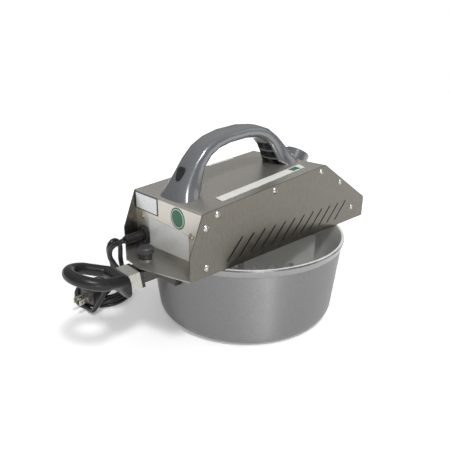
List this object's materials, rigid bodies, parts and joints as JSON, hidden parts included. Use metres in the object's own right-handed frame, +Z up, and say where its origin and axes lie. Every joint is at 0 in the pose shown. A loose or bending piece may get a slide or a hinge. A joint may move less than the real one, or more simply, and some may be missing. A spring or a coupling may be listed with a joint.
{
  "type": "electric mixing pot",
  "caption": "Electric mixing pot: a cast pot with a loop handle and a clamped stainless motor head that turns a bladed agitator.",
  "frame": {"origin": "centre of the pot's flat base, on the table", "axes": "+Z up along the agitator's axis, +X along the motor head, away from the loop handle, +Y toward the side where the mains cord leaves"},
  "size_m": [0.4167, 0.3159, 0.2498],
  "materials": {
    "cast_aluminium": "satin cast",
    "rivet_metal": "satin",
    "polished_steel": "polished stainless",
    "black_resin": "satin moulded resin",
    "screw_steel": "bright",
    "brass_screws": "bright",
    "grained_steel": "vertical grain",
    "clear_stop": "natural",
    "grey_plastic": "glossy",
    "black_plastic": "matte",
    "black_rubber": "satin",
    "gear_brass": "bright",
    "gear_steel": "ground",
    "painted_can": "satin paint",
    "motor_alloy": "die cast",
    "motor_core": "varnished",
    "capacitor_can": "drawn",
    "pale_plastic": "matte"
  },
  "bodies": {
    "base": {"pot": "cast_aluminium", "handle_bracket": "cast_aluminium", "bracket_rivets": "rivet_metal", "handle_sleeve": "polished_steel", "loop_handle": "black_resin", "loop_handle_screw": "screw_steel"},
    "head": {"gear_case": "cast_aluminium", "gear_case_lid": "cast_aluminium", "stop_rivets": "rivet_metal", "panel_screws": "screw_steel", "carry_handle_bolts": "screw_steel", "lid_screws": "screw_steel", "motor_bolts": "screw_steel", "clip_screws": "screw_steel", "worm_bearings": "screw_steel", "shaft_bearings": "screw_steel", "end_screws": "brass_screws", "right_side_panel": "grained_steel", "left_side_panel": "grained_steel", "top_cover": "grained_steel", "floor_plate": "grained_steel", "wiring_bracket": "grained_steel", "capacitor_clip": "grained_steel", "rim_stops": "clear_stop", "carry_handle": "grey_plastic", "carry_handle_caps": "black_plastic", "switch_body": "black_plastic", "cord_nut": "black_plastic", "cord_flange": "black_plastic", "shaft_seal": "black_rubber", "cord_boot": "black_rubber", "cord_lead": "black_rubber", "cord_coil": "black_rubber", "cord_tail": "black_rubber", "plug_body": "black_rubber", "plug_pins": "gear_brass", "motor_case": "painted_can", "motor_end_bell": "motor_alloy", "motor_stator": "motor_core", "start_capacitor": "capacitor_can", "terminal_block": "pale_plastic"},
    "clamp_collar": {"clamp_washer": "screw_steel"},
    "clamp_screw": {"clamp_knob": "black_plastic", "clamp_stud": "screw_steel"},
    "agitator": {"drive_shaft": "polished_steel", "worm_wheel": "gear_brass", "wheel_key": "screw_steel", "agitator_hub": "polished_steel", "agitator_blades": "polished_steel", "agitator_pin": "polished_steel"},
    "motor_spindle": {"motor_rotor": "gear_steel", "worm": "gear_steel", "cooling_fan": "black_plastic"},
    "switch": {"switch_knob": "grey_plastic", "switch_spindle": "screw_steel"}
  },
  "joints": [
    {"name": "head_lift", "type": "slide", "parent": "base", "child": "head", "axis": [0, 0, 1], "range_m": [0, 0.13]},
    {"name": "clamp_lift", "type": "slide", "parent": "head", "child": "clamp_collar", "axis": [0, 0, 1], "range_m": [0, 0.008]},
    {"name": "clamp_turn", "type": "hinge", "parent": "clamp_collar", "child": "clamp_screw", "pos_m": [-0.1545, 0.005, 0.112], "axis": [0, 0, 1], "range_deg": [0, 2880]},
    {"name": "agitator_spin", "type": "hinge", "parent": "head", "child": "agitator", "pos_m": [0, 0, 0.12], "axis": [0, 0, 1], "continuous": true},
    {"name": "motor_spin", "type": "hinge", "parent": "head", "child": "motor_spindle", "pos_m": [0, -0.0332, 0.146], "axis": [1, 0, 0], "continuous": true},
    {"name": "switch_turn", "type": "hinge", "parent": "head", "child": "switch", "pos_m": [0.09216, 0, 0.18223], "axis": [0.5265, 0, 0.8502], "range_deg": [0, 270]}
  ],
  "couplings": [
    {"joint": "clamp_turn", "follows": "clamp_lift", "rad_per_m": 6283.2},
    {"joint": "motor_spin", "follows": "agitator_spin", "ratio": -36}
  ]
}
